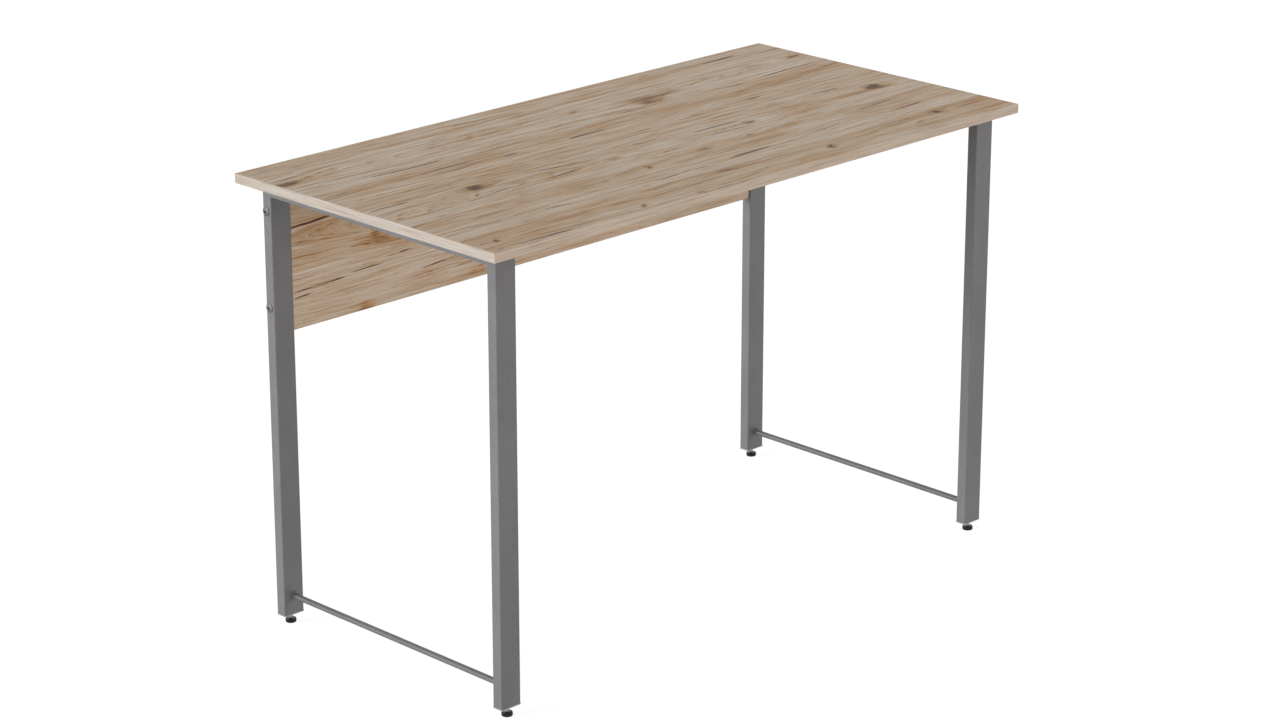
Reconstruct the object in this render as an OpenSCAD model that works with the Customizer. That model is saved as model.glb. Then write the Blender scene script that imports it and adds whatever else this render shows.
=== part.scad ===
// Straight desk: a laminated board on two welded side frames of rectangular tube,
// with a modesty panel bolted between the rear legs and a levelling foot under each leg.
// Millimetres. The floor is z = 0, X runs along the desk, and the user sits at -Y.

/* [Desktop] */
// Length of the desktop, left to right
desk_length = 1200; // [900:10:1600]
// Depth of the desktop, front to back
desk_depth = 600; // [450:10:800]
// Height of the desktop's top face above the floor, with the feet as set
desk_height = 766; // [700:1:800]
// Thickness of the desktop board
desktop_t = 16; // [16:1:28]
// Thickness of the banding glued round the desktop
desktop_band_t = 1; // [0.4:0.1:2]
// Radius on the outer arrises of the banding
band_arris_r = 0.6; // [0.2:0.1:1]

/* [Side frames] */
// Side of the frame tube that lies along the desk
tube_w = 40; // [30:1:50]
// Side of the frame tube that lies front to back on a leg, and upright on a rail
tube_t = 20; // [20:1:30]
// Wall of the frame tube
tube_wall = 1.5; // [1:0.1:2.5]
// Outer corner radius of the frame tube
tube_corner_r = 2; // [1:0.1:3]
// How far the frames stand in from the desktop's edges
frame_inset = 30; // [10:1:100]
// Diameter of the round bar that ties each pair of legs near the floor
tie_bar_d = 10; // [8:0.5:14]
// Height of the tie bar's axis above the underside of the leg
tie_bar_rise = 33; // [30:1:80]
// Leg length of the fillet weld round each end of the tie bar
weld_leg = 1.8; // [1:0.1:3]

/* [Modesty panel] */
// Height of the panel between the rear legs
panel_h = 250; // [160:5:400]
// Thickness of the panel
panel_t = 16; // [16:1:18]
// Thickness of the banding on the panel's edges
panel_band_t = 0.6; // [0.4:0.1:1]
// Distance of each bolt from the panel's top or bottom edge
panel_bolt_edge = 45; // [30:1:70]

/* [Fasteners] */
// Thread diameter of the panel bolts
bolt_d = 6; // [5:0.5:7]
// How far a panel bolt reaches into the end of the panel
bolt_reach = 40; // [35:1:60]
// Head diameter of the panel bolts
bolt_head_d = 15; // [12:0.5:16]
// Head height of the panel bolts
bolt_head_h = 2.4; // [2:0.1:3.5]
// Width across flats of the hexagon socket in the bolt heads
bolt_socket_af = 4; // [3:0.5:5]
// Diameter of the barrel nuts sunk in the panel
barrel_d = 10; // [9:0.5:12]
// Length of the barrel nuts
barrel_len = 12; // [11:0.5:13]
// Distance of the barrel nuts from the end of the panel
barrel_setback = 33; // [25:1:50]
// Shank diameter of the screws that hold the desktop
screw_d = 4; // [3.5:0.1:5]
// How far those screws reach into the desktop
screw_reach = 12; // [8:0.5:13]
// Head diameter of those screws
screw_head_d = 8; // [7:0.1:10]
// Head height of those screws
screw_head_h = 2.6; // [2:0.1:3.2]
// Spacing of the screws along a top rail
screw_pitch = 210; // [150:5:240]

/* [Leg caps] */
// Thickness of the cap's flange under the leg
cap_flange_t = 2; // [1.5:0.1:4]
// How far the flange stands proud of the tube
cap_lip = 0.6; // [0:0.1:1.5]
// Height of the cap's plug inside the tube
cap_plug_h = 20; // [16:1:30]
// Wall of the cap's plug
cap_wall = 1.6; // [1.2:0.1:2.5]
// Diameter of the boss round the thread
cap_boss_d = 14; // [13.5:0.5:15]
// Width across flats of the nut moulded into the boss
nut_af = 10; // [9:0.5:10.5]
// Thickness of that nut
nut_h = 5; // [4:0.5:6]
// Height of the nut above the underside of the cap
nut_rise = 6; // [4:0.5:9]

/* [Levelling feet] */
// Diameter of the foot's base
foot_d = 18; // [16:0.5:24]
// Height of the foot's base
foot_h = 7; // [6.5:0.5:12]
// Number of grip scallops round the base
foot_scallops = 8; // [6:1:12]
// Depth of a grip scallop
foot_scallop_depth = 0.7; // [0.3:0.1:1]
// Rounding of the base's top and bottom rims
foot_rim_r = 1.6; // [0.5:0.1:2]
// Gap between the base and the leg, as set
foot_gap = 9; // [6:0.5:10]
// Thread diameter of the stem
stem_d = 6; // [5:0.5:6.5]
// Length of the stem above the base
stem_len = 25; // [22:1:32]
// Diameter of the ball that snaps into the base
ball_d = 5.6; // [5:0.1:6]
// Diameter of the neck above the ball
neck_d = 4; // [3:0.1:4.4]

/* [Clearances] */
// Radial clearance of the stem in its nut, and of the ball in its socket
running_fit = 0.06; // [0.02:0.01:0.1]
// Radial clearance of bolts and screws in their holes
hole_fit = 0.3; // [0.1:0.05:0.5]
// Gap between the plug's ribs and the tube
plug_fit = 0.1; // [0.05:0.05:0.3]

/* [Hidden] */
$fn = 48;
eps = 0.01;
cut = 1;                     // how far a cutting shape runs past the face that it cuts

LEFT = -1;
RIGHT = 1;
FRONT = -1;
REAR = 1;

// desktop
desktop_z = desk_height - desktop_t;
core_x = desk_length / 2 - desktop_band_t;
core_y = desk_depth / 2 - desktop_band_t;

// side frames
frame_x = desk_length / 2 - frame_inset;      // outer side faces
frame_y = desk_depth / 2 - frame_inset;       // outer front and rear faces
leg_x = frame_x - tube_w / 2;
leg_y = frame_y - tube_t / 2;
leg_inner_x = frame_x - tube_w;
leg_inner_y = frame_y - tube_t;
cap_z = foot_h + foot_gap;
leg_z = cap_z + cap_flange_t;
tube_inner_w = tube_w - 2 * tube_wall;
tube_inner_t = tube_t - 2 * tube_wall;
tube_inner_r = max(tube_corner_r - tube_wall, 0.3);
tie_bar_z = cap_z + tie_bar_rise;

// modesty panel, flush with the rear faces of the rear legs
panel_y = frame_y - panel_t / 2;
panel_z = desktop_z - panel_h;
panel_core_x = leg_inner_x - panel_band_t;
bolt_zs = [desktop_z - panel_bolt_edge, panel_z + panel_bolt_edge];

// fasteners
bolt_dome_h = bolt_head_h * 0.65;
bolt_dome_r = (pow(bolt_head_d / 2, 2) + pow(bolt_dome_h, 2)) / (2 * bolt_dome_h);
bolt_socket_depth = bolt_head_h * 1.1;
barrel_x = leg_inner_x - barrel_setback;
barrel_hole_depth = panel_t / 2 + barrel_len / 2;
barrel_slot_w = 1.2;
barrel_slot_depth = 1.5;
screw_tip_h = 3;
screw_recess_w = 0.9;
screw_recess_depth = screw_head_h * 0.6;
screw_ys = [for (i = [-1 : 1]) i * screw_pitch];

// leg caps
plug_w = tube_inner_w - 2 * plug_fit;
plug_t = tube_inner_t - 2 * plug_fit;
rib_h = 1.5;
rib_proud = 0.5;
rib_count = 4;
rib_pitch = cap_plug_h / rib_count;
nut_z = cap_z + nut_rise;

// levelling feet
ball_z = foot_h - ball_d / 2 - 0.2;
neck_top = foot_h + 0.6;
stem_top = foot_h + stem_len;
stem_chamfer = 0.8;
scallop_r = 3;

oak = [0.70, 0.60, 0.50];
panel_oak = [0.66, 0.53, 0.40];
pale_band = [0.80, 0.73, 0.65];
grey_paint = [0.46, 0.46, 0.47];
cap_grey = [0.62, 0.62, 0.63];
zinc = [0.78, 0.78, 0.76];
black = [0.05, 0.05, 0.05];

// A rectangle w by t, centred, with corners of radius r.
module rounded_rect(w, t, r) {
    square([w - 2 * r, t], center = true);
    square([w, t - 2 * r], center = true);
    for (x = [-1, 1], y = [-1, 1])
        translate([x * (w / 2 - r), y * (t / 2 - r)]) circle(r);
}

module tube_section() {
    difference() {
        rounded_rect(tube_w, tube_t, tube_corner_r);
        rounded_rect(tube_inner_w, tube_inner_t, tube_inner_r);
    }
}

// A strip of banding along +X: its glued face is y = 0 and its outer face y = t.
// The two long outer arrises are rounded.
module band(length, height, t) {
    r = min(band_arris_r, t * 0.9);
    translate([-length / 2, 0, 0]) rotate([90, 0, 90]) linear_extrude(length)
        intersection() {
            square([t, height]);
            union() {
                square([t - r, height]);
                translate([0, r]) square([t, height - 2 * r]);
                for (v = [r, height - r]) translate([t - r, v]) circle(r);
            }
        }
}

// ---- desktop ----

module desktop_board() {
    color(oak) difference() {
        translate([-core_x, -core_y, desktop_z]) cube([2 * core_x, 2 * core_y, desktop_t]);
        for (side = [LEFT, RIGHT], y = screw_ys)
            translate([side * leg_x, y, desktop_z - cut])
                cylinder(d = screw_d + 2 * running_fit, h = cut + screw_reach + running_fit);
    }
}

// The front and rear bands run the whole length and cover the ends of the side bands.
module desktop_long_band(row) {
    color(pale_band) translate([0, row * core_y, desktop_z]) mirror([0, row == FRONT ? 1 : 0, 0])
        band(desk_length, desktop_t, desktop_band_t);
}

module desktop_side_band(side) {
    color(pale_band) translate([side * core_x, 0, desktop_z]) rotate([0, 0, -side * 90])
        band(2 * core_y, desktop_t, desktop_band_t);
}

// ---- side frames ----

// Everything above the mitre plane of a frame corner, on the leg's side, for row REAR.
module above_mitre() {
    translate([-tube_w, 0, 0]) rotate([90, 0, 90]) linear_extrude(2 * tube_w)
        polygon([
            [leg_inner_y - cut, desktop_z - tube_t - cut],
            [frame_y + cut, desktop_z + cut],
            [leg_inner_y - cut, desktop_z + cut]
        ]);
}

// Everything below the same plane, on the rail's side.
module below_mitre() {
    translate([-tube_w, 0, 0]) rotate([90, 0, 90]) linear_extrude(2 * tube_w)
        polygon([
            [leg_inner_y - cut, desktop_z - tube_t - cut],
            [frame_y + cut, desktop_z + cut],
            [frame_y + cut, desktop_z - tube_t - cut]
        ]);
}

module leg(side, row) {
    color(grey_paint) difference() {
        translate([side * leg_x, row * leg_y, leg_z])
            linear_extrude(desktop_z - leg_z) tube_section();
        translate([side * leg_x, 0, 0]) mirror([0, row == FRONT ? 1 : 0, 0]) above_mitre();
        if (row == REAR)
            for (z = bolt_zs)
                translate([side * leg_x - tube_w, panel_y, z]) rotate([0, 90, 0])
                    cylinder(d = bolt_d + 2 * hole_fit, h = 2 * tube_w);
    }
}

module top_rail(side) {
    color(grey_paint) difference() {
        translate([side * leg_x, frame_y, desktop_z - tube_t / 2]) rotate([90, 0, 0])
            linear_extrude(2 * frame_y) tube_section();
        for (flip = [0, 1])
            translate([side * leg_x, 0, 0]) mirror([0, flip, 0]) below_mitre();
        for (y = screw_ys)
            translate([side * leg_x, y, desktop_z - tube_t - cut])
                cylinder(d = screw_d + 2 * hole_fit, h = tube_t + 2 * cut);
    }
}

// The bar butts on the inner faces of the legs, with a fillet weld all round each end.
module tie_bar(side) {
    bar_r = tie_bar_d / 2;
    color(grey_paint) translate([side * leg_x, 0, tie_bar_z]) rotate([90, 0, 0]) {
        cylinder(d = tie_bar_d, h = 2 * leg_inner_y, center = true);
        for (flip = [0, 1])
            mirror([0, 0, flip]) translate([0, 0, -leg_inner_y]) rotate_extrude()
                difference() {
                    translate([bar_r / 2, 0]) square([bar_r / 2 + weld_leg, weld_leg]);
                    translate([bar_r + weld_leg, weld_leg]) circle(weld_leg);
                }
    }
}

// ---- leg caps ----

module leg_cap(side, row) {
    color(cap_grey) translate([side * leg_x, row * leg_y, cap_z]) difference() {
        union() {
            linear_extrude(cap_flange_t)
                rounded_rect(tube_w + 2 * cap_lip, tube_t + 2 * cap_lip, tube_corner_r + cap_lip);
            translate([0, 0, cap_flange_t]) linear_extrude(cap_plug_h)
                rounded_rect(plug_w - 2 * rib_proud, plug_t - 2 * rib_proud, tube_inner_r);
            for (i = [0 : rib_count - 1])
                translate([0, 0, cap_flange_t + (i + 0.5) * rib_pitch]) linear_extrude(rib_h)
                    rounded_rect(plug_w, plug_t, tube_inner_r + plug_fit);
        }
        translate([0, 0, cap_flange_t]) difference() {
            linear_extrude(cap_plug_h + cut)
                square([plug_w - 2 * rib_proud - 2 * cap_wall,
                    plug_t - 2 * rib_proud - 2 * cap_wall], center = true);
            cylinder(d = cap_boss_d, h = nut_rise + nut_h);
        }
        translate([0, 0, -cut])
            cylinder(d = stem_d + 2 * hole_fit, h = cap_flange_t + cap_plug_h + 2 * cut);
        translate([0, 0, nut_rise]) cylinder(d = nut_corner_d(nut_af), h = nut_h, $fn = 6);
    }
}

// Distance across the corners of a hexagon that is af across its flats.
function nut_corner_d(af) = af / cos(30);

module leg_cap_nuts() {
    for (side = [LEFT, RIGHT], row = [FRONT, REAR])
        color(zinc) translate([side * leg_x, row * leg_y, nut_z]) difference() {
            cylinder(d = nut_corner_d(nut_af), h = nut_h, $fn = 6);
            translate([0, 0, -cut]) cylinder(d = stem_d + 2 * running_fit, h = nut_h + 2 * cut);
        }
}

// ---- levelling feet ----

// Half outline of the base: flat below and above, with rounded rims.
module foot_outline() {
    r = foot_rim_r;
    square([foot_d / 2 - r, foot_h]);
    translate([0, r]) square([foot_d / 2, foot_h - 2 * r]);
    for (v = [r, foot_h - r]) translate([foot_d / 2 - r, v]) circle(r);
}

module foot_base(side, row) {
    scallop_x = foot_d / 2 - foot_scallop_depth + scallop_r;
    color(black) translate([side * leg_x, row * leg_y, 0]) difference() {
        rotate_extrude() foot_outline();
        for (i = [0 : foot_scallops - 1])
            rotate([0, 0, (i + 0.5) * 360 / foot_scallops]) translate([scallop_x, 0, -cut])
                cylinder(r = scallop_r, h = foot_h + 2 * cut);
        translate([0, 0, ball_z]) sphere(d = ball_d + 2 * running_fit);
        translate([0, 0, ball_z]) cylinder(d = neck_d + 4 * hole_fit, h = foot_h);
    }
}

// Threaded stem with a slim neck and a ball that turns in the base.
module foot_stem(side, row) {
    color(zinc) translate([side * leg_x, row * leg_y, 0]) {
        translate([0, 0, ball_z]) sphere(d = ball_d);
        translate([0, 0, ball_z]) cylinder(d = neck_d, h = neck_top - ball_z + eps);
        translate([0, 0, neck_top])
            cylinder(d = stem_d, h = stem_top - stem_chamfer - neck_top);
        translate([0, 0, stem_top - stem_chamfer])
            cylinder(d1 = stem_d, d2 = stem_d - 2 * stem_chamfer, h = stem_chamfer);
    }
}

// ---- modesty panel ----

module modesty_panel() {
    color(panel_oak) difference() {
        translate([-panel_core_x, frame_y - panel_t, panel_z + panel_band_t])
            cube([2 * panel_core_x, panel_t, panel_h - 2 * panel_band_t]);
        for (side = [LEFT, RIGHT], z = bolt_zs) {
            translate([side * leg_inner_x, panel_y, z]) rotate([0, -side * 90, 0])
                cylinder(d = bolt_d + 2 * hole_fit, h = bolt_reach + 2);
            translate([side * barrel_x, frame_y - barrel_hole_depth, z]) rotate([-90, 0, 0])
                cylinder(d = barrel_d + 2 * running_fit, h = barrel_hole_depth + cut);
        }
    }
}

// Banding on a long edge: the outer face points down, or up when flipped.
module panel_long_band(top) {
    edge_z = top ? desktop_z - panel_band_t : panel_z + panel_band_t;
    color(pale_band) translate([0, frame_y, edge_z]) mirror([0, 0, top ? 0 : 1])
        rotate([90, 0, 0]) band(2 * leg_inner_x, panel_t, panel_band_t);
}

module panel_end_band(side) {
    color(pale_band) difference() {
        translate([side * panel_core_x, frame_y, panel_z + panel_h / 2]) rotate([0, -90, 0])
            mirror([0, 0, side == LEFT ? 0 : 1]) rotate([90, 0, 0])
                band(panel_h - 2 * panel_band_t, panel_t, panel_band_t);
        for (z = bolt_zs)
            translate([side * panel_core_x - tube_w / 2, panel_y, z]) rotate([0, 90, 0])
                cylinder(d = bolt_d + 2 * hole_fit, h = tube_w);
    }
}

// ---- fasteners ----

// Bolt along +Z: the head's bearing face is z = 0 and the shank runs down from it.
module panel_bolt() {
    difference() {
        union() {
            cylinder(d = bolt_head_d, h = bolt_head_h - bolt_dome_h);
            intersection() {
                cylinder(d = bolt_head_d, h = bolt_head_h + cut);
                translate([0, 0, bolt_head_h - bolt_dome_r]) sphere(r = bolt_dome_r);
            }
            translate([0, 0, -tube_w - bolt_reach]) cylinder(d = bolt_d, h = tube_w + bolt_reach + eps);
        }
        translate([0, 0, bolt_head_h - bolt_socket_depth])
            cylinder(d = nut_corner_d(bolt_socket_af), h = bolt_socket_depth + cut, $fn = 6);
    }
}

module panel_bolts(side) {
    for (z = bolt_zs)
        color(zinc) translate([side * frame_x, panel_y, z]) rotate([0, side * 90, 0]) panel_bolt();
}

// Cross dowel with a threaded cross hole and a screwdriver slot in its open end.
module barrel_nuts(side) {
    for (z = bolt_zs)
        color(zinc) translate([side * barrel_x, panel_y, z]) difference() {
            rotate([90, 0, 0]) cylinder(d = barrel_d, h = barrel_len, center = true);
            rotate([0, 90, 0])
                cylinder(d = bolt_d + 2 * running_fit, h = barrel_d + 2 * cut, center = true);
            translate([0, barrel_len / 2, 0])
                cube([barrel_slot_w, 2 * barrel_slot_depth, barrel_d + 2 * cut], center = true);
        }
}

// Pan-head screw along +Z: the head's bearing face is z = 0 and the shank runs up from it.
module rail_screw() {
    shank = tube_t + screw_reach;
    difference() {
        union() {
            mirror([0, 0, 1]) cylinder(d1 = screw_head_d, d2 = screw_head_d * 0.7, h = screw_head_h);
            cylinder(d = screw_d, h = shank - screw_tip_h);
            translate([0, 0, shank - screw_tip_h]) cylinder(d1 = screw_d, d2 = 0.6, h = screw_tip_h);
        }
        translate([0, 0, -screw_head_h]) for (a = [0, 90])
            rotate([0, 0, a])
                cube([screw_head_d * 0.5, screw_recess_w, 2 * screw_recess_depth], center = true);
    }
}

module rail_screws(side) {
    for (y = screw_ys)
        color(zinc) translate([side * leg_x, y, desktop_z - tube_t]) rail_screw();
}

desktop_board();
desktop_long_band(FRONT);  // desktop_front_edge_band
desktop_long_band(REAR);  // desktop_rear_edge_band
desktop_side_band(LEFT);  // desktop_left_edge_band
desktop_side_band(RIGHT);  // desktop_right_edge_band
modesty_panel();
panel_long_band(true);  // modesty_panel_top_edge_band
panel_long_band(false);  // modesty_panel_bottom_edge_band
panel_end_band(LEFT);  // modesty_panel_left_edge_band
panel_end_band(RIGHT);  // modesty_panel_right_edge_band
leg(LEFT, FRONT);  // left_front_leg
leg(LEFT, REAR);  // left_rear_leg
leg(RIGHT, FRONT);  // right_front_leg
leg(RIGHT, REAR);  // right_rear_leg
top_rail(LEFT);  // left_top_rail
top_rail(RIGHT);  // right_top_rail
tie_bar(LEFT);  // left_tie_bar
tie_bar(RIGHT);  // right_tie_bar
leg_cap(LEFT, FRONT);  // left_front_leg_cap
leg_cap(LEFT, REAR);  // left_rear_leg_cap
leg_cap(RIGHT, FRONT);  // right_front_leg_cap
leg_cap(RIGHT, REAR);  // right_rear_leg_cap
leg_cap_nuts();
foot_base(LEFT, FRONT);  // left_front_foot_base
foot_base(LEFT, REAR);  // left_rear_foot_base
foot_base(RIGHT, FRONT);  // right_front_foot_base
foot_base(RIGHT, REAR);  // right_rear_foot_base
foot_stem(LEFT, FRONT);  // left_front_foot_stem
foot_stem(LEFT, REAR);  // left_rear_foot_stem
foot_stem(RIGHT, FRONT);  // right_front_foot_stem
foot_stem(RIGHT, REAR);  // right_rear_foot_stem
panel_bolts(LEFT);  // left_panel_bolts
panel_bolts(RIGHT);  // right_panel_bolts
barrel_nuts(LEFT);  // left_barrel_nuts
barrel_nuts(RIGHT);  // right_barrel_nuts
rail_screws(LEFT);  // left_rail_screws
rail_screws(RIGHT);  // right_rail_screws
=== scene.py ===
import math

import bpy
import numpy as np
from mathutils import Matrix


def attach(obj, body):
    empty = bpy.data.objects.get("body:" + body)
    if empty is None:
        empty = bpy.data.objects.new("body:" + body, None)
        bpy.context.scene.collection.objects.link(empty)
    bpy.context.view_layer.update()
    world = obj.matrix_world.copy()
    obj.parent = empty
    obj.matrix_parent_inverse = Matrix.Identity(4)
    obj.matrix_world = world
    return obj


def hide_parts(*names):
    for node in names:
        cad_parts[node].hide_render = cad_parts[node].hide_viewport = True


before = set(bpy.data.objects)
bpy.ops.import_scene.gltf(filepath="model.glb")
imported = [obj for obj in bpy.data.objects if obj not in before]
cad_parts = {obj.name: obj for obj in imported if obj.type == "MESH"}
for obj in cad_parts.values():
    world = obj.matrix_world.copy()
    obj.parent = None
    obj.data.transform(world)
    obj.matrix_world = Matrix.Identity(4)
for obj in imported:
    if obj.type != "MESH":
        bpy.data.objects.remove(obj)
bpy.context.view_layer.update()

# ---- Camera ----
# Stands off the desk's front left corner with a long lens, higher than the
# desktop, and looks down at it.
CAMERA_AT = (-3.959, -3.962, 2.309)
CAMERA_TURN = (71.024, 0.0, -44.977)
camera = bpy.data.objects.new("camera", bpy.data.cameras.new("camera"))
camera.data.lens, camera.data.sensor_width = 100.3, 36.0
camera.location = CAMERA_AT
camera.rotation_euler = [math.radians(turn) for turn in CAMERA_TURN]
bpy.context.collection.objects.link(camera)
bpy.context.scene.camera = camera
bpy.context.scene.view_settings.view_transform = "Standard"


# ---- Studio ----
# A plain pale floor that runs out of sight, an even white surround and four
# broad soft lamps: two on the left, one raised and one level, a warm one in
# front, and a weak one behind on the right.
class Wire:
    """A socket in a finish's node tree. Arithmetic on it adds Math nodes."""

    def __init__(self, tree, socket=None):
        self.tree, self.socket = tree, socket

    def node(self, kind, settings=None, sockets=None, out=0):
        """Adds a node: its settings, then socket values or links.

        A ramp's stops are (place, colour): stops run on into each other, steps don't.
        """
        made = self.tree.nodes.new("ShaderNode" + kind)
        for name, value in (settings or {}).items():
            if name in ("stops", "steps"):
                ramp = made.color_ramp
                ramp.interpolation = {"stops": "LINEAR", "steps": "CONSTANT"}[name]
                ramp.elements.remove(ramp.elements[1])
                ramp.elements[0].position, ramp.elements[0].color = value[0]
                for place, colour in value[1:]:
                    ramp.elements.new(place).color = colour
            else:
                setattr(made, name, value)
        for name, value in (sockets or {}).items():
            if isinstance(value, Wire):
                self.tree.links.new(value.socket, made.inputs[name])
            else:
                made.inputs[name].default_value = value
        return Wire(self.tree, made.outputs[out])

    def maths(self, operation, *values, clamp=False):
        return self.node(
            "Math",
            {"operation": operation, "use_clamp": clamp},
            dict(enumerate(values)),
        )

    def __add__(self, other):
        return self.maths("ADD", self, other)

    def __sub__(self, other):
        return self.maths("SUBTRACT", self, other)

    def __rsub__(self, other):
        return self.maths("SUBTRACT", other, self)

    def __mul__(self, other):
        return self.maths("MULTIPLY", self, other)

    def __truediv__(self, other):
        return self.maths("DIVIDE", self, other)

    def __rtruediv__(self, other):
        return self.maths("DIVIDE", other, self)

    def __pow__(self, other):
        return self.maths("POWER", self, other)

    def __mod__(self, other):
        return self.maths("FLOORED_MODULO", self, other)

    def __abs__(self):
        return self.maths("ABSOLUTE", self)

    __radd__, __rmul__ = __add__, __mul__

    def within(self, low, high):
        """0 below low and 1 above high, eased between; turned round where high is under low."""
        ends = (low, high, 0.0, 1.0) if low < high else (high, low, 1.0, 0.0)
        return self.node(
            "MapRange",
            {"interpolation_type": "SMOOTHSTEP"},
            dict(zip(("Value", 1, 2, 3, 4), (self, *ends))),
        )

    def held(self):
        """Cut off at 0 and 1."""
        return self.maths("ADD", self, 0.0, clamp=True)

    def mix(self, first, second):
        """The colour first where this is 0, second where it is 1."""
        return self.node(
            "Mix",
            {"data_type": "RGBA"},
            {0: self, 6: first, 7: second},
            out=2,
        )

    def parts(self):
        """The vector's X, Y and Z."""
        made = self.node("SeparateXYZ", sockets={0: self}).socket.node
        return [Wire(self.tree, socket) for socket in made.outputs]

    def noise(self, lengths, detail=2.0, roughness=0.5, seed=0.0):
        """Cloudy noise from 0 to 1 over this vector, one lump about lengths long on each axis."""
        spread = self.node(
            "Mapping",
            {"vector_type": "TEXTURE"},
            {0: self, 1: (seed * 97.0, seed * 61.0, seed * 37.0), 3: lengths},
        )
        return self.node(
            "TexNoise",
            {"noise_dimensions": "3D"},
            {"Vector": spread, "Scale": 1.0, "Detail": detail, "Roughness": roughness},
        )


def tint(red, green, blue):
    """Display values from 0 to 255 as the linear colour that a shader takes."""
    shares = [value / 255.0 for value in (red, green, blue)]
    linear = [s / 12.92 if s <= 0.04045 else ((s + 0.055) / 1.055) ** 2.4 for s in shares]
    return (*linear, 1.0)


def grey(value):
    """A number as the grey that a ramp's stop takes."""
    return (value, value, value, 1.0)


def seen_directly(tree):
    """1 for rays from the camera, a mirror or glass, 0 for rays that light the desk."""
    rays = Wire(tree).node("LightPath").socket.node
    camera_ray, glossy_ray, clear_ray = (
        Wire(tree, rays.outputs[name])
        for name in ("Is Camera Ray", "Is Glossy Ray", "Is Transmission Ray")
    )
    return (camera_ray + glossy_ray + clear_ray).held()


SURROUND_LIGHT = 0.40
surround = bpy.data.worlds.new("studio_surround")
surround.use_nodes = True
bpy.context.scene.world = surround
backdrop = surround.node_tree.nodes["Background"]
backdrop.inputs["Color"].default_value = (1.0, 1.0, 1.0, 1.0)
surround_level = seen_directly(surround.node_tree) * (1.0 - SURROUND_LIGHT) + SURROUND_LIGHT
surround.node_tree.links.new(surround_level.socket, backdrop.inputs["Strength"])

FLOOR_HALF = 30.0
FLOOR_LIGHT = 0.86
LIT_GREY, SEEN_GREY = 0.8, 0.30
floor_corners = np.array([(-1, -1, 0), (1, -1, 0), (1, 1, 0), (-1, 1, 0)], float) * FLOOR_HALF
floor_mesh = bpy.data.meshes.new("studio_floor")
floor_mesh.from_pydata(floor_corners.tolist(), [], [(0, 1, 2, 3)])
studio_floor = bpy.data.objects.new("studio_floor", floor_mesh)
bpy.context.collection.objects.link(studio_floor)
floor_paint = bpy.data.materials.new("studio_floor")
floor_paint.use_nodes = True
floor_tree = floor_paint.node_tree
floor_tree.nodes.remove(floor_tree.nodes["Principled BSDF"])
floor_white = Wire(floor_tree)
matt = floor_white.node("BsdfDiffuse", sockets={"Color": grey(LIT_GREY)})
matt_share = floor_white.node("BsdfDiffuse", sockets={"Color": grey(SEEN_GREY)})
glow = floor_white.node("Emission", sockets={"Color": grey(1.0), "Strength": FLOOR_LIGHT})
shown = floor_white.node("AddShader", sockets={0: glow, 1: matt_share})
floor_look = floor_white.node(
    "MixShader", sockets={0: seen_directly(floor_tree), 1: matt, 2: shown}
)
floor_tree.links.new(
    floor_look.socket, floor_tree.nodes["Material Output"].inputs["Surface"]
)
floor_mesh.materials.append(floor_paint)


def soft_lamp(name, towards, strength, spread, colour):
    """A distant lamp that shines along towards, from a patch of sky spread degrees wide."""
    lamp = bpy.data.lights.new(name, "SUN")
    lamp.energy, lamp.angle, lamp.color = strength, math.radians(spread), colour
    stand = bpy.data.objects.new(name, lamp)
    x, y, z = towards
    stand.rotation_euler = (math.atan2(math.hypot(x, y), -z), 0.0, math.atan2(-x, y))
    bpy.context.collection.objects.link(stand)


soft_lamp("key_lamp", (0.87, -0.40, -0.27), 1.80, 34.0, (1.0, 1.0, 1.0))
soft_lamp("low_lamp", (0.94, -0.30, 0.02), 1.28, 44.0, (1.0, 1.0, 1.0))
soft_lamp("front_lamp", (-0.25, 1.0, -0.04), 0.94, 26.0, (1.0, 0.88, 0.785))
soft_lamp("rear_lamp", (-0.80, -0.55, -0.20), 0.5, 60.0, (1.0, 1.0, 1.0))


# ---- Desktop board ----
# Chipboard 16 mm thick, faced above and below with a pressed paper that
# carries an oak print: staves of pale and brown wood, knots, splits and
# the arched figure of a plain-sawn board. The press leaves fine pores.
MM = 1000.0


def finish(name):
    """A new finish: its material, and a Wire on the piece's own coordinates in millimetres."""
    material = bpy.data.materials.new(name)
    material.use_nodes = True
    place = Wire(material.node_tree).node("TexCoord", out="Object")
    place = place.node("VectorMath", {"operation": "SCALE"}, {0: place, "Scale": MM})
    return material, place


def surface(material, constants, varying):
    """Sets the shader's own sockets: constants as values, varying as links."""
    shader = material.node_tree.nodes["Principled BSDF"]
    for name, value in constants.items():
        shader.inputs[name].default_value = value
    for name, wire in varying.items():
        material.node_tree.links.new(wire.socket, shader.inputs[name])


def relief(height, depth):
    """A normal from a height of 0 to 1 that stands for depth metres."""
    return height.node("Bump", sockets={"Strength": 1.0, "Distance": depth, "Height": height})


def dress(material, *nodes):
    """Gives the CAD nodes this finish."""
    for name in nodes:
        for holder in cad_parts[name].material_slots:
            holder.material = material


FAR = 1e6


def soft_marks(sheet, marks):
    """The sum of soft-edged ovals (x, y, half length, half width, strength, slope in degrees).

    The running sum is carried in the sheet's third axis, which the ovals
    ignore, so that the shader works them out one after another.
    """
    for x, y, length, width, strength, slope in marks:
        oval = sheet.node(
            "Mapping",
            {"vector_type": "TEXTURE"},
            {
                0: sheet,
                1: (x, y, 0.0),
                2: (0.0, 0.0, math.radians(slope)),
                3: (length, width, FAR),
            },
        )
        away = oval.node("VectorMath", {"operation": "LENGTH"}, {0: oval}, out="Value")
        sheet = sheet.node(
            "VectorMath",
            {"operation": "MULTIPLY_ADD"},
            {0: away.within(1.0, 0.0), 1: (0.0, 0.0, strength), 2: sheet},
        )
    return sheet.parts()[2]


PARTING = 0.7


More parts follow.
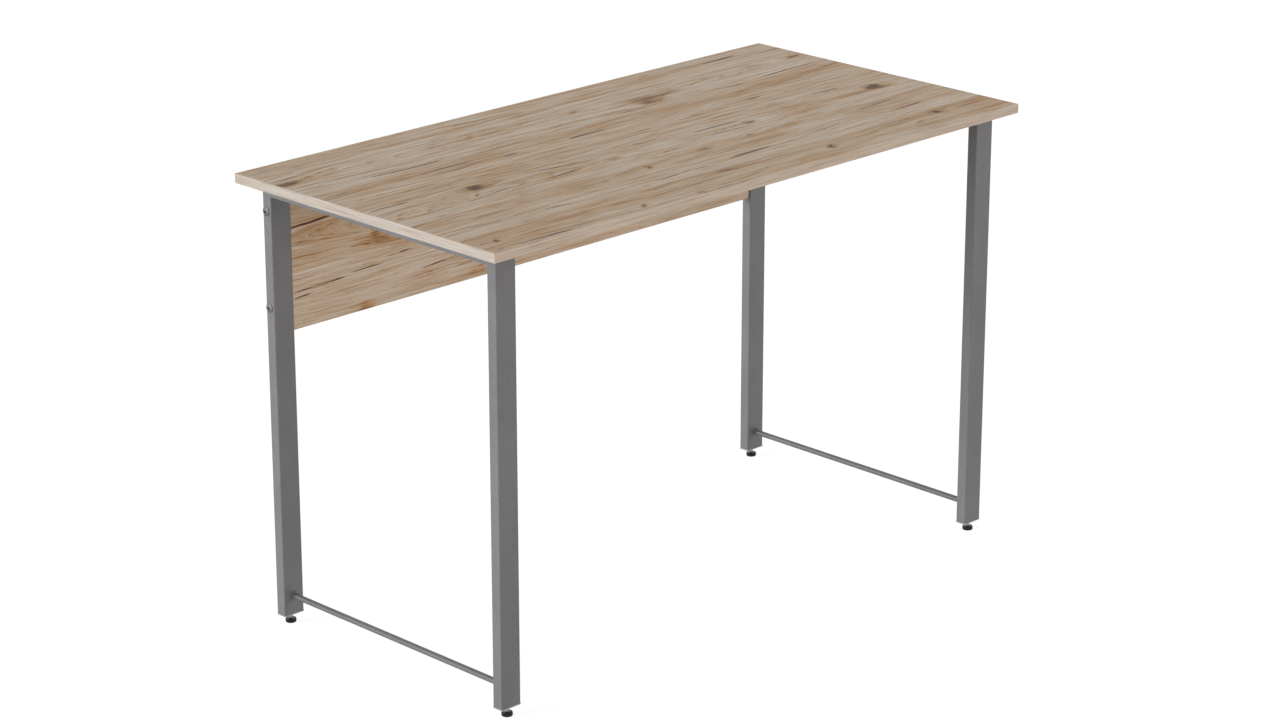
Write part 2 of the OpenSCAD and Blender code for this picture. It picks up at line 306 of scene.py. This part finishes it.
def parted(sheet, knots):
    """The sheet drawn together at each knot (x, y, length, width), so that grain on it runs round."""
    for x, y, length, width in knots:
        oval = sheet.node(
            "Mapping",
            {"vector_type": "TEXTURE"},
            {0: sheet, 1: (x, y, 0.0), 3: (length, width, FAR)},
        )
        away = oval.node("VectorMath", {"operation": "LENGTH"}, {0: oval}, out="Value")
        reach = away.within(1.0, 0.0)
        pull = oval.node("VectorMath", {"operation": "SCALE"}, {0: oval, "Scale": reach})
        sheet = sheet.node(
            "VectorMath",
            {"operation": "MULTIPLY_ADD"},
            {0: pull, 1: (0.0, -PARTING * width, 0.0), 2: sheet},
        )
    return sheet


SHADE_STOPS = (0.0, 0.12, 0.28, 0.47, 0.62, 1.0)
RING_SPACING, RISE_KNEE = 4.6, 40.0
TEAR_ALONG, TEAR_ACROSS = 40.0, 16.0
SPLIT_BROWN, KNOT_BROWN, PORE_BROWN = tint(60, 35, 12), tint(72, 46, 22), tint(110, 88, 66)


def oak_print(name, along, across, coarseness, shades, tones, staves, swirls, stains, splits, knots):
    """Print of oak on a flat board, from along and across the grain in millimetres.

    Coarseness is the width of the grain's lines against the desktop's. Shades
    are the wood's colours from pale to dark, and tones are (across, brownness)
    over the board's width. A stave is (lower edge, heart along, heart across,
    climb): its growth rings are cylinders round an axis that lies at heart
    across and rises out of the face by climb from heart along, so
    ring = sqrt(side^2 + rise^2) / spacing. Swirls are where the grain parts;
    stains, splits and knots are soft marks.
    """
    material, place = finish(name)
    x, y, z = place.parts()
    axes = {"x": x, "y": y, "z": z}
    flat = place.node("CombineXYZ", sockets={0: axes[along], 1: axes[across]})
    drift = (flat.noise((420, 60, 1), seed=1) - 0.5) * 22.0 + (flat.noise((90, 22, 1), seed=2) - 0.5) * 6.0
    sheet = flat.node(
        "VectorMath",
        {"operation": "ADD"},
        {0: parted(flat, swirls), 1: drift.node("CombineXYZ", sockets={1: drift})},
    )
    low, high = tones[0][0], tones[-1][0]
    edge = (axes[across] + (flat.noise((300, 60, 1), seed=7) - 0.5) * 6.0 - low) / (high - low)
    tone = edge.node(
        "ValToRGB",
        {"stops": [((at - low) / (high - low), grey(value / 2.0)) for at, value in tones]},
        {0: edge},
    ) * 2.0

    spans = [(min(column), max(column) + 0.001) for column in list(zip(*staves))[1:]]
    steps = [
        (
            (lower - low) / (high - low),
            (*((v - least) / (most - least) for v, (least, most) in zip(cut, spans)), 1.0),
        )
        for lower, *cut in staves
    ]
    cut = edge.node("ValToRGB", {"steps": steps}, {0: edge}).parts()
    heart_along, heart_across, climb = (
        share * (most - least) + least for share, (least, most) in zip(cut, spans)
    )
    run, width, _ = sheet.parts()
    side = width - heart_across
    wander = (flat.noise((170, 50, 1), 2.0, 0.5, seed=8) - 0.5) * (22.0 * coarseness)
    rise = (run - heart_along) * climb + wander
    rise = rise / (abs(rise) / RISE_KNEE + 1.0)
    ring = (side * side + rise * rise) ** 0.5
    grain = run.node(
        "CombineXYZ", sockets={0: run, 1: ring / coarseness, 2: cut[0] * 40.0 + cut[1] * 23.0}
    )

    broad = grain.noise((420, 14, 1), 2.0, 0.55, seed=3)
    streak = grain.noise((200, 7.0, 1), 2.0, 0.65, seed=4)
    fine = grain.noise((70, 3.4, 1), 2.0, 0.65, seed=5)
    patch = flat.noise((260, 36, 1), 2.0, 0.5, seed=6)
    lines = grain.noise((150, 5.0, 1), 1.0, 0.5, seed=13).within(0.56, 0.68)
    check = grain.noise((70, 2.6, 1), 1.0, 0.5, seed=11).within(0.68, 0.78)
    figure = flat.noise((230, 30, 1), 1.0, 0.5, seed=12).within(0.40, 0.66)
    ragged = flat.noise((24, 6, 1), 3.0, 0.65, seed=9)
    year = (ring / RING_SPACING + (streak - 0.5) * 1.2 + (ragged - 0.5) * 0.9) % 1.0
    tear = Wire(material.node_tree, ragged.socket.node.outputs["Color"])
    torn = tear.node(
        "VectorMath",
        {"operation": "MULTIPLY_ADD"},
        {0: tear, 1: (TEAR_ALONG, TEAR_ACROSS, 0.0), 2: sheet},
    )
    centred = (-TEAR_ALONG / 2.0, -TEAR_ACROSS / 2.0, 0.0)
    torn = torn.node("VectorMath", {"operation": "ADD"}, {0: torn, 1: centred})

    split = soft_marks(sheet, splits) + (fine - 0.5) * 1.2 + (ragged - 0.5) * 0.9
    split = (split.within(0.16, 0.55) + check * 0.5).held()
    stain = soft_marks(torn, stains)
    marks = soft_marks(torn, knots)
    heart = abs(side).within(30.0, 5.0)
    brown = tone + (broad - 0.5) * 0.8 + (streak - 0.5) * 2.5 + (fine - 0.5) * 1.9 - 0.12
    brown = brown + (patch - 0.5) * 0.6 + lines * 0.7 + split * 0.9
    brown = brown + year ** 6.0 * (figure * 0.7 + heart * 0.6 + stain * 0.9)
    brown = brown + stain * (ragged * 2.4 - 0.3) * (streak * 1.4 + 0.3) + marks * (ragged + 0.9)
    wood = brown.node(
        "ValToRGB",
        {"stops": [(at, tint(*shade)) for at, shade in zip(SHADE_STOPS, shades)]},
        {0: (brown + 0.3) / 2.5},
    )
    knot = (marks + (ragged - 0.5) * 0.9).within(0.54, 1.12)
    wood = (split * 0.80).mix(wood, SPLIT_BROWN)
    wood = knot.mix(wood, KNOT_BROWN)
    pores = grain.noise((14, 0.45, 1), 1.0, 0.5, seed=10).within(0.60, 0.74)
    wood = (pores * 0.16).mix(wood, PORE_BROWN)

    hollow = (pores * 0.6 + (1.0 - fine) * 0.35 + split * 0.8).held()
    surface(
        material,
        {"IOR": 1.5, "Specular IOR Level": 0.14},
        {
            "Base Color": wood,
            "Roughness": 0.50 + fine * 0.16 + pores * 0.1,
            "Normal": relief(1.0 - hollow, 0.00012),
        },
    )
    return material


desktop_print = oak_print(
    "oak_print_desktop",
    "x",
    "y",
    1.0,
    shades=[
        (206, 192, 175), (199, 182, 163), (191, 166, 139), (180, 147, 112), (168, 131, 92),
        (120, 87, 54),
    ],
    tones=[
        (-300, 0.50), (-262, 0.50), (-250, 0.70), (-221, 0.82), (-219, 0.20), (-200, 0.18),
        (-185, 0.30), (-150, 0.45), (-113, 0.62), (-111, 0.12), (-85, 0.24), (-55, 0.42),
        (-10, 0.34), (4, 0.20), (11, 0.22), (13, 0.48), (28, 0.46), (52, 0.30), (66, 0.45),
        (86, 0.72), (100, 0.64), (114, 0.50), (116, 0.26), (150, 0.12), (170, 0.16), (195, 0.36),
        (230, 0.12), (244, 0.16), (246, 0.50), (270, 0.36), (300, 0.44),
    ],
    staves=[
        (-300, -900, -330, 0.10), (-220, 300, -420, 0.02), (-112, -375, -60, 0.10),
        (12, 200, -90, 0.03), (115, 190, 190, 0.075), (245, 700, 120, 0.02),
    ],
    swirls=[
        (-390, -27, 110, 26), (515, -50, 90, 26), (170, 153, 110, 34), (-117, -133, 60, 16),
        (463, -235, 60, 18), (180, -258, 60, 16), (-273, -280, 60, 16), (-582, 193, 90, 18),
        (-50, -130, 50, 20), (-555, -256, 50, 14),
    ],
    stains=[
        (-500, 258, 60, 9, 0.45, 0), (-47, 250, 50, 8, 0.50, 0), (-483, 225, 18, 7, 0.30, 0),
        (172, 160, 56, 30, 1.20, -8), (212, 170, 88, 20, 1.00, 6), (140, 178, 40, 14, 0.80, -12),
        (300, 177, 20, 5, 0.50, 25), (-420, 95, 60, 22, 0.30, 0),
        (-535, 96, 90, 20, 0.35, 0), (30, 108, 130, 9, 0.40, 0), (400, 86, 230, 26, 0.25, 0),
        (520, 100, 90, 10, 0.45, 0), (333, 87, 46, 16, 0.40, 12), (-537, 50, 40, 8, 0.45, 0),
        (-300, 22, 90, 9, 0.35, 0), (300, 16, 190, 12, 0.35, 0), (165, 14, 34, 8, 0.50, 0),
        (-388, -28, 46, 15, 1.20, 0), (518, -52, 56, 20, 1.10, -8), (545, -68, 40, 10, 0.40, -12),
        (-320, -48, 24, 12, 0.45, 0), (-250, -50, 24, 5, 0.50, -25), (-403, -50, 26, 4, 0.80, 38),
        (-540, -125, 90, 14, 0.45, 0), (-383, -127, 38, 11, 0.45, -4), (-90, -64, 60, 7, 0.40, -9),
        (15, -120, 34, 9, 0.90, 0), (105, -118, 54, 7, 0.80, 0), (235, -119, 40, 9, 0.80, 0),
        (560, -118, 50, 8, 0.40, 0), (130, -150, 110, 34, 0.35, 0), (330, -72, 46, 8, 0.40, 0),
        (-360, -242, 14, 12, 0.60, 0), (-400, -272, 22, 9, 0.50, 0), (-40, -232, 30, 14, 0.75, -20),
        (-260, -224, 130, 6, 0.35, 0), (397, -258, 24, 6, 0.85, 16), (477, -247, 14, 6, 0.60, 0),
        (-290, 98, 6, 18, 0.40, 0), (463, -235, 34, 14, 0.60, 0), (180, -258, 26, 12, 0.60, 0),
        (-582, 193, 50, 14, 0.60, 0), (-478, 205, 12, 8, 0.90, 0), (330, -245, 150, 10, 0.25, 0),
    ],
    splits=[
        (-556, 277, 56, 2.8, 0.73, 0), (-400, 127, 120, 3.5, 1.17, 0), (-328, 87, 120, 3, 0.73, 0),
        (-556, -12, 62, 3.2, 0.95, 1), (-475, -10, 46, 2.8, 0.61, 2), (-50, 75, 66, 3.5, 1.17, 0),
        (-220, -32, 110, 3, 0.89, -8), (135, -38, 76, 3.5, 1.28, 0), (64, -187, 76, 3.8, 1.3, 2),
        (-120, -198, 120, 2.5, 0.73, 3), (460, 270, 70, 3.5, 0.95, 2), (500, 133, 110, 3, 1, 0),
        (345, 125, 46, 3, 0.73, 2), (120, 130, 56, 2.8, 0.78, 0), (436, -13, 56, 2.8, 0.84, -2),
        (464, -176, 52, 3.8, 1.17, 5), (-480, -293, 76, 4, 1.3, -1), (-506, -183, 50, 2.8, 0.84, -2),
        (-365, -190, 50, 2.8, 0.78, -3), (248, -176, 80, 2.5, 0.67, 4), (428, -130, 76, 2.8, 0.73, 4),
        (-220, 71, 36, 2.8, 0.78, 3), (-566, 89, 46, 2.8, 0.73, 0), (-390, -70, 90, 2.8, 0.78, 6),
        (-240, -68, 76, 2.8, 0.73, 4), (308, 38, 34, 2.5, 0.73, 2), (-245, -140, 76, 2.8, 0.67, 0),
        (120, -73, 120, 2.2, 0.61, -1), (-100, -296, 100, 2.5, 0.61, 0),
    ],
    knots=[
        (-390, -27, 22, 9.4, 1.48, 8), (515, -50, 29, 11.4, 1.38, 12), (-582, 193, 44, 8.4, 1.1, 4),
        (-530, 201, 14, 5.2, 0.67, 0), (-410, 195, 14, 4.2, 0.62, 20), (-357, 193, 14, 3.1, 0.77, 32),
        (-287, 193, 14, 3.1, 0.62, 35), (-195, 198, 16, 5.2, 0.72, 20), (-76, 196, 32, 4.2, 0.72, 8),
        (30, 190, 20, 6.3, 0.67, 30), (73, 177, 16, 5.2, 0.62, 0), (166, 152, 22, 7, 0.80, 12),
        (225, 165, 56, 5.2, 0.62, 22), (380, 183, 16, 4.2, 0.72, 25), (407, 163, 14, 5.2, 0.58, -20),
        (493, 183, 27, 4.2, 0.67, 6), (563, 185, 23, 5.2, 0.72, 18), (-557, 50, 17, 5.2, 0.67, 0),
        (-517, 48, 16, 5.2, 0.62, 0), (-117, -133, 13, 8.4, 1.05, 25), (137, -117, 16, 6.3, 1.1, 0),
        (25, -120, 27, 6.3, 0.62, 0), (-463, -38, 14, 4.2, 0.81, 28), (-580, -72, 17, 6.3, 0.67, 0),
        (-520, -70, 22, 5.2, 0.67, 20), (-470, -70, 17, 4.2, 0.58, 10), (463, -235, 22, 7.3, 1.19, -12),
        (180, -258, 17, 7.3, 1.19, 25), (-555, -256, 14, 5.2, 1.05, 20), (-273, -280, 17, 5.2, 1.1, 32),
        (-160, -288, 14, 7.3, 0.91, -20), (285, 280, 20, 4.2, 0.58, 0), (-416, -62, 22, 4.2, 0.58, 35),
    ],
)
dress(desktop_print, "desktop_board")

# ---- Modesty panel ----
# The same board stock, cut with the grain along the desk and bolted between
# the rear legs. Its shades are painted paler than the desktop's, a painted
# lift against the shade that it lies in under the desktop.
panel_print = oak_print(
    "oak_print_panel",
    "x",
    "z",
    0.55,
    # Painted paler than the desktop's shades, against the shade under the desktop.
    shades=[
        (233, 219, 204), (225, 209, 192), (217, 195, 170), (208, 176, 142), (199, 158, 117),
        (148, 107, 69),
    ],
    tones=[
        (500, 0.44), (520, 0.32), (545, 0.28), (566, 0.26), (596, 0.20), (599, 0.56),
        (612, 0.50), (640, 0.42), (668, 0.48), (673, 0.66), (710, 0.62), (750, 0.66),
    ],
    staves=[(500, 100, 300, 0.06), (598, -320, 650, 0.20), (672, 800, 860, 0.10)],
    swirls=[(-375, 508, 70, 14), (-350, 612, 60, 12), (150, 640, 70, 20), (420, 560, 60, 18)],
    stains=[
        (-500, 722, 70, 20, 0.50, 0), (-376, 506, 32, 12, 0.90, 0), (-345, 610, 80, 16, 0.70, -5),
        (-350, 628, 16, 26, 0.70, 0), (-125, 508, 34, 16, 0.60, 0), (150, 640, 40, 16, 0.60, 0),
        (420, 560, 34, 14, 0.50, 0), (-455, 651, 95, 32, 0.50, 0),
    ],
    splits=[
        (-496, 671, 70, 2.8, 1.50, 2), (-500, 562, 44, 1.8, 0.90, 1), (-440, 565, 44, 1.9, 1.00, 3),
        (-370, 571, 50, 1.9, 1.00, 1), (-506, 553, 30, 1.6, 0.70, 2), (-300, 584, 50, 1.6, 0.70, 1),
        (-210, 543, 90, 1.5, 0.55, 3), (-140, 530, 100, 1.5, 0.55, 4), (60, 560, 150, 2.0, 0.70, -2),
        (330, 690, 120, 2.6, 0.90, 1),
    ],
    knots=[
        (-376, 504, 26, 8, 0.50, 0), (-352, 622, 14, 12, 0.40, 0), (150, 640, 26, 14, 1.20, 8),
        (420, 560, 20, 10, 1.00, 0),
    ],
)
dress(panel_print, "modesty_panel")

# ---- Edge banding ----
# Strips of pale oak-print plastic, glued round the desktop and the panel and
# trimmed to a small radius. The strips along the desk are painted paler than
# the others, a painted lift against the weaker light on the desk's front.
BAND_STOPS = (0.0, 0.40, 0.62, 1.0)


def banding(name, along, shades):
    """Straight-grained print along one axis of the board, in four shades from pale to dark."""
    material, place = finish(name)
    lengths = [2.0, 2.0, 2.0]
    lengths["xyz".index(along)] = 150.0
    lines = place.noise(tuple(lengths), 3.0, 0.65, seed=2)
    hair = place.noise(tuple(0.32 * length for length in lengths), 2.0, 0.6, seed=5)
    cloud = place.noise((90, 90, 90), 2.0, 0.5, seed=7)
    brown = (lines - 0.5) * 2.2 + (hair - 0.5) * 1.3 + (cloud - 0.5) * 0.5 + 0.40
    wood = brown.node(
        "ValToRGB",
        {"stops": [(at, tint(*shade)) for at, shade in zip(BAND_STOPS, shades)]},
        {0: brown},
    )
    surface(
        material,
        {"IOR": 1.5},
        {
            "Base Color": wood,
            "Roughness": 0.40 + hair * 0.2,
            "Normal": relief(hair, 0.00006),
        },
    )
    return material


# Painted light: the long strips' shades are paler than the short ones' to make up for the weaker front
# light.
LONG_SHADES_PAINTED_PALE = [(225, 209, 192), (212, 194, 175), (199, 177, 154), (160, 132, 104)]
SHORT_SHADES = [(200, 191, 182), (188, 177, 165), (177, 163, 147), (144, 124, 102)]
dress(
    banding("banding_along_desk", "x", LONG_SHADES_PAINTED_PALE),
    "desktop_front_edge_band",
    "desktop_rear_edge_band",
    "modesty_panel_top_edge_band",
    "modesty_panel_bottom_edge_band",
)
dress(
    banding("banding_across_desk", "y", SHORT_SHADES),
    "desktop_left_edge_band",
    "desktop_right_edge_band",
)
dress(
    banding("banding_upright", "z", SHORT_SHADES),
    "modesty_panel_left_edge_band",
    "modesty_panel_right_edge_band",
)

# ---- Side frames ----
# Rectangular steel tube, mitred and welded at the top corners, ground flush
# and coated with silver-grey powder. The tie bars take a darker copy of the same coat.
SIDES = {"left": -1.0, "right": 1.0}
ROWS = {"front": -1.0, "rear": 1.0}
CORNERS = [f"{side}_{row}" for side in SIDES for row in ROWS]


def powder_coat(name, dark, pale):
    """Metallic powder paint: orange peel about a millimetre across with finer flakes in it."""
    material, place = finish(name)
    peel = place.noise((1.7, 1.7, 1.7), 1.0, 0.5, seed=1)
    fleck = place.noise((0.45, 0.45, 0.45), 1.0, 0.5, seed=3)
    cloud = place.noise((60, 60, 90), 2.0, 0.5, seed=4)
    shade = (peel - 0.5) * 0.45 + (fleck - 0.5) * 1.4 + (cloud - 0.5) * 0.3 + 0.5
    surface(
        material,
        {"Metallic": 0.2, "Specular IOR Level": 0.5},
        {
            "Base Color": shade.mix(dark, pale),
            "Roughness": 0.34 + fleck * 0.3,
            "Normal": relief(peel * 0.75 + fleck * 0.25, 0.00011),
        },
    )
    return material


frame_coat = powder_coat("silver_grey_powder_coat", tint(84, 84, 85), tint(140, 140, 142))
dress(
    frame_coat,
    *(f"{corner}_leg" for corner in CORNERS),
    *(f"{side}_top_rail" for side in SIDES),
)
# A darker copy of the frame's coat, for the tie bars.
bar_coat = powder_coat("tie_bar_powder_coat", tint(77, 77, 77), tint(124, 124, 125))
dress(bar_coat, *(f"{side}_tie_bar" for side in SIDES))

# ---- Weld beads ----
# Each end of a tie bar is fillet-welded to its leg all round, under the paint:
# a bowed bead with a ripple for each dip of the wire.
LEG_X, LEG_Y = 0.55, 0.26
LEG_INNER_Y = 0.25
BAR_RADIUS, BAR_HEIGHT = 0.005, 0.049
BEAD_LEG, BEAD_RIPPLES = 0.0023, 18
BEAD_ROWS, BEAD_SIDES = 11, 196


def weld_bead(phase):
    """Rows of points round a bar along Y, from the bar up to the leg at y = 0.

    The slope rises and shortens by the bead's leg; along it the bead stands
    bow * sin(pi t) proud. Bow and leg both follow |sin| of half the ripples'
    angle, round humps with sharp valleys between, over slower sines.
    """
    slope = np.linspace(0.0, 1.0, BEAD_ROWS)[:, None]
    angle = np.linspace(0.0, 2.0 * math.pi, BEAD_SIDES, endpoint=False)[None, :]
    lean = 0.20 * np.sin(math.pi * slope)
    hump = np.abs(np.sin(0.5 * BEAD_RIPPLES * (angle + lean) + phase))
    swell = 1.0 + 0.07 * np.sin(2.0 * angle + phase) + 0.05 * np.sin(5.0 * angle - phase)
    leg = BEAD_LEG * swell * (0.90 + 0.14 * hump)
    bow = leg * (0.06 + 0.13 * hump) * np.sin(math.pi * slope)
    radius = BAR_RADIUS + leg * slope + bow
    from_leg = leg * (1.0 - slope) + bow
    return np.stack([radius * np.cos(angle), -from_leg, radius * np.sin(angle)], axis=2)


def lathed(name, rows):
    """A closed mesh through rings of points, one ring a row, with a flat cap at each end."""
    count, around = rows.shape[:2]
    step = np.arange(around)
    beside = (step + 1) % around
    row = (np.arange(count - 1) * around)[:, None]
    sides = np.stack([row + step, row + beside, row + around + beside, row + around + step], axis=2)
    faces = sides.reshape(-1, 4).tolist()
    caps = [step[::-1].tolist(), ((count - 1) * around + step).tolist()]
    mesh = bpy.data.meshes.new(name)
    mesh.from_pydata(rows.reshape(-1, 3).tolist(), [], faces + caps)
    mesh.polygons.foreach_set("use_smooth", [True] * len(faces) + [False, False])
    made = bpy.data.objects.new(name, mesh)
    bpy.context.collection.objects.link(made)
    return made


for side, across in SIDES.items():
    for row, back in ROWS.items():
        bead = weld_bead(1.3 * across + 0.7 * back) * np.array([-back, back, 1.0])
        bead = bead + np.array([across * LEG_X, back * LEG_INNER_Y, BAR_HEIGHT])
        bead = lathed(f"{side}_{row}_weld_bead", bead)
        bead.data.materials.append(frame_coat)
        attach(bead, "desk_frame")

# ---- Leg caps ----
# Light grey moulded plastic, pressed into the end of each leg, with a nut
# moulded in for the foot's stem.
cap_plastic, place = finish("cap_plastic")
spark = place.noise((0.35, 0.35, 0.35), 2.0, 0.6, seed=2)
cloud = place.noise((9, 9, 9), 2.0, 0.5, seed=3)
surface(
    cap_plastic,
    {"IOR": 1.48},
    {
        "Base Color": (spark * 0.4 + cloud * 0.6).mix(tint(160, 159, 158), tint(196, 194, 192)),
        "Roughness": 0.42 + spark * 0.2,
        "Normal": relief(spark, 0.00004),
    },
)
dress(cap_plastic, *(f"{corner}_leg_cap" for corner in CORNERS))

# ---- Fasteners ----
# Steel: bolts with domed heads and hexagon sockets in dull grey plate, the
# barrel nuts that they draw up, the nuts in the caps and the screws in the
# rails in bright zinc.


def plating(name, dark, pale, least_rough):
    """Plated steel: passivation clouds a few millimetres across over fine turning marks."""
    material, place = finish(name)
    bloom = place.noise((5, 5, 5), 3.0, 0.55, seed=2)
    turned = place.noise((0.25, 0.25, 0.25), 1.0, 0.5, seed=3)
    surface(
        material,
        {"Metallic": 1.0},
        {
            "Base Color": bloom.mix(dark, pale),
            "Roughness": least_rough + bloom * 0.18,
            "Normal": relief(turned, 0.00002),
        },
    )
    return material


dull_plate = plating("dull_grey_plate", tint(92, 92, 95), tint(122, 122, 125), 0.50)
zinc_plate = plating("zinc_plate", tint(150, 152, 157), tint(196, 195, 189), 0.24)
dress(dull_plate, *(f"{side}_panel_bolts" for side in SIDES))
dress(
    zinc_plate,
    "leg_cap_nuts",
    *(f"{side}_{part}" for side in SIDES for part in ("barrel_nuts", "rail_screws")),
)

# ---- Levelling feet ----
# A zinc-plated M6 stem, rolled thread above and ball below, snaps into a black
# plastic base with grip scallops; turning the stem raises or lowers that corner.
STEM_SIDES, BALL_ROWS = 48, 14
THREAD_PITCH, THREAD_DEPTH = 0.001, 0.00055
STEM_CREST, STEM_NECK = 0.003, 0.002
BALL_CENTRE, BALL_RADIUS = 0.004, 0.0028
THREAD_START, STEM_TOP, STEM_BEVEL = 0.0076, 0.032, 0.0008
NECK_LENGTH, SHOULDER_GAP = 0.0012, 0.00002
CREST_FLAT, FLANK = 0.12, 0.72


def threaded_stem():
    """Rows of points up the stem, its radius a function of height and angle.

    On the ball it is sqrt(R^2 - (z - centre)^2), then the neck's, and above
    that the crest less the depth times a triangle wave of z / pitch - angle,
    flat at crest and root, which fades in over one turn and ends in a bevel.
    """
    ball = BALL_CENTRE - BALL_RADIUS * np.cos(np.linspace(0.04, math.pi - 0.80, BALL_ROWS))
    neck = np.array([THREAD_START - NECK_LENGTH, THREAD_START - SHOULDER_GAP])
    thread = np.arange(THREAD_START, STEM_TOP, THREAD_PITCH / 8.0)
    height = np.concatenate([ball, neck, thread, [STEM_TOP]])[:, None]
    angle = np.linspace(0.0, 2.0 * math.pi, STEM_SIDES, endpoint=False)[None, :]
    wave = np.abs(2.0 * ((height / THREAD_PITCH - angle / (2.0 * math.pi)) % 1.0) - 1.0)
    cut = np.clip((wave - CREST_FLAT) / FLANK, 0.0, 1.0)
    cut = cut * np.clip((height - THREAD_START) / THREAD_PITCH, 0.0, 1.0)
    above = np.minimum(
        STEM_CREST - THREAD_DEPTH * cut, STEM_CREST - STEM_BEVEL + (STEM_TOP - height)
    )
    below = np.sqrt(np.clip(BALL_RADIUS**2 - (height - BALL_CENTRE) ** 2, 1e-10, None))
    on_ball = height <= ball[-1]
    radius = np.where(height >= THREAD_START, above, np.where(on_ball, below, STEM_NECK))
    height = np.broadcast_to(height, radius.shape)
    return np.stack([radius * np.cos(angle), radius * np.sin(angle), height], axis=2)


for side, across in SIDES.items():
    for row, back in ROWS.items():
        centre = np.array([across * LEG_X, back * LEG_Y, 0.0])
        stem = lathed(f"{side}_{row}_threaded_stem", threaded_stem() + centre)
        stem.data.materials.append(zinc_plate)
        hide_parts(f"{side}_{row}_foot_stem")
        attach(stem, f"{side}_{row}_stem")

foot_plastic, place = finish("foot_plastic")
mould = place.noise((1.2, 1.2, 1.2), 2.0, 0.6, seed=2)
scuff = place.noise((6, 0.8, 3), 2.0, 0.6, seed=4).within(0.58, 0.75)
surface(
    foot_plastic,
    {"Specular IOR Level": 0.25},
    {
        "Base Color": (mould * 0.5 + scuff * 0.5).mix(tint(5, 5, 5), tint(22, 22, 23)),
        "Roughness": 0.30 + scuff * 0.3,
        "Normal": relief(mould, 0.00003),
    },
)
dress(foot_plastic, *(f"{corner}_foot_base" for corner in CORNERS))
